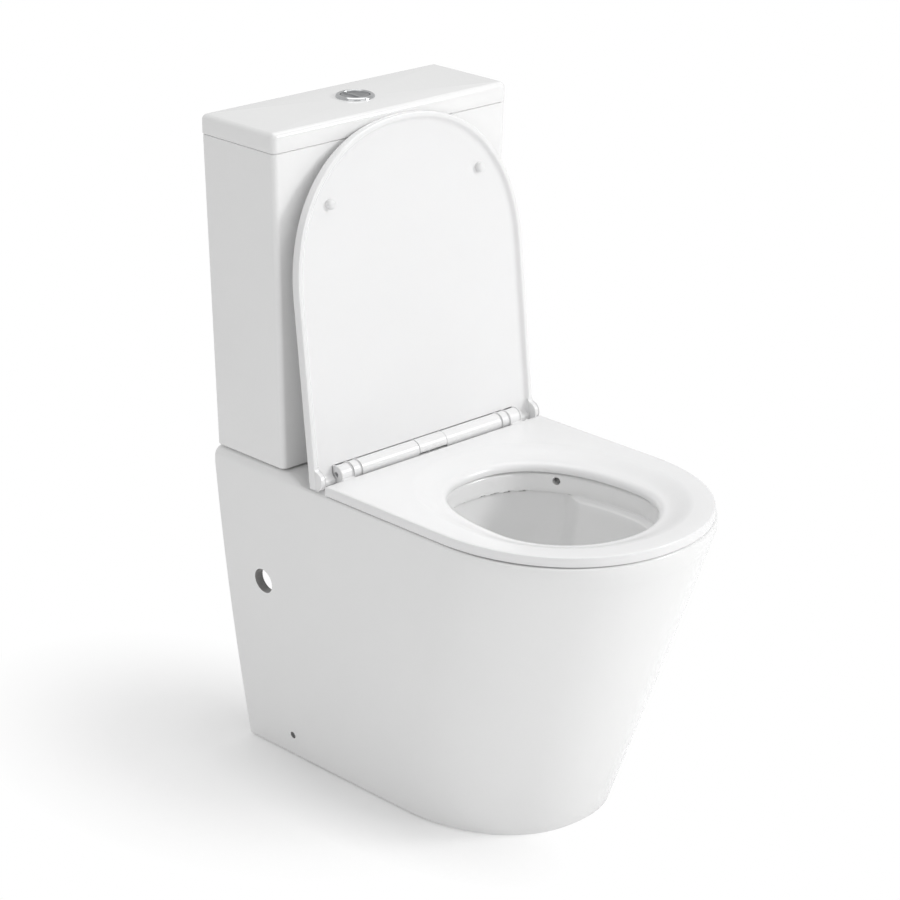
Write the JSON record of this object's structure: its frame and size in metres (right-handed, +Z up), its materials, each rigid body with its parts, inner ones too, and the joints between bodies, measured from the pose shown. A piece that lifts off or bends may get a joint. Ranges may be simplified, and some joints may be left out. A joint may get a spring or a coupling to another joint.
{
  "type": "close-coupled toilet",
  "caption": "Rimless back-to-wall toilet: skirted pan, slim cistern with dual flush button in its lid, soft-close seat and raised D-shaped cover.",
  "frame": {"origin": "floor, middle of the footprint: half-way between the wall plane and the front of the rim", "axes": "+X to the right seen from the front, +Y towards the wall, +Z up"},
  "size_m": [0.375, 0.602, 0.833],
  "materials": {
    "glazed_china": "gloss",
    "seat_plastic": "gloss",
    "chrome": "polished",
    "steel": "satin",
    "brass": "satin",
    "rubber": "matte",
    "valve_plastic": "satin",
    "valve_blue": "satin"
  },
  "bodies": {
    "suite": {"pan": "glazed_china", "cistern": "glazed_china", "cistern_lid": "glazed_china", "hinge_bar": "seat_plastic", "hinge_pins": "steel", "soft_close_dampers": "valve_blue", "hinge_bolts": "steel", "hinge_washers": "rubber", "hinge_nuts": "valve_plastic", "button_bezel": "chrome", "bezel_nut": "valve_plastic", "actuator_housing": "valve_blue", "flush_valve_cage": "valve_plastic", "flush_valve_base": "valve_plastic", "flush_valve_washer": "rubber", "flush_valve_nut": "valve_plastic", "fill_valve_body": "valve_plastic", "fill_valve_head": "valve_blue", "inlet_washer": "rubber", "inlet_nut": "valve_plastic", "lever_pin": "brass", "tank_gasket": "rubber", "tank_spacers": "rubber", "tank_bolts": "brass", "tank_bolt_seals": "rubber", "tank_bolt_washers": "steel", "tank_wing_nuts": "brass", "floor_brackets": "valve_plastic", "floor_screws": "steel", "side_screws": "steel"},
    "seat": {"seat_ring": "seat_plastic", "seat_buffers": "rubber"},
    "cover": {"seat_cover": "seat_plastic", "cover_buffers": "seat_plastic"},
    "full_button": {"full_flush_button": "chrome", "full_flush_rod": "valve_plastic"},
    "half_button": {"half_flush_button": "chrome", "half_flush_rod": "valve_plastic"},
    "flush_valve": {"overflow_tube": "valve_plastic", "valve_seal": "rubber"},
    "float": {"float_cup": "valve_plastic", "float_link": "steel"},
    "lever": {"valve_lever": "valve_plastic"},
    "release": {"release_button": "seat_plastic"}
  },
  "joints": [
    {"name": "cover_hinge", "type": "hinge", "parent": "suite", "child": "cover", "pos_m": [0, 0.111, 0.417], "axis": [-1, 0, 0], "range_deg": [-96, 0]},
    {"name": "seat_hinge", "type": "hinge", "parent": "suite", "child": "seat", "pos_m": [0, 0.111, 0.417], "axis": [-1, 0, 0], "range_deg": [0, 95]},
    {"name": "full_flush_press", "type": "slide", "parent": "suite", "child": "full_button", "axis": [0, 0, -1], "range_m": [0, 0.006], "stiffness_N_per_m": 300, "springref_m": -0.01},
    {"name": "half_flush_press", "type": "slide", "parent": "suite", "child": "half_button", "axis": [0, 0, -1], "range_m": [0, 0.006], "stiffness_N_per_m": 200, "springref_m": -0.01},
    {"name": "flush_valve_lift", "type": "slide", "parent": "suite", "child": "flush_valve", "axis": [0, 0, 1], "range_m": [0, 0.018]},
    {"name": "float_rise", "type": "slide", "parent": "suite", "child": "float", "axis": [0, 0, 1], "range_m": [0, 0.01]},
    {"name": "lever_tilt", "type": "hinge", "parent": "suite", "child": "lever", "pos_m": [-0.117, 0.239, 0.7375], "axis": [0, 1, 0], "range_deg": [0, 24]},
    {"name": "release_press", "type": "slide", "parent": "suite", "child": "release", "axis": [0, 0, -1], "range_m": [0, 0.0025], "stiffness_N_per_m": 300, "springref_m": -0.004}
  ],
  "couplings": [
    {"joint": "flush_valve_lift", "follows": "full_flush_press", "ratio": 3},
    {"joint": "lever_tilt", "follows": "float_rise", "rad_per_m": 41.8}
  ]
}
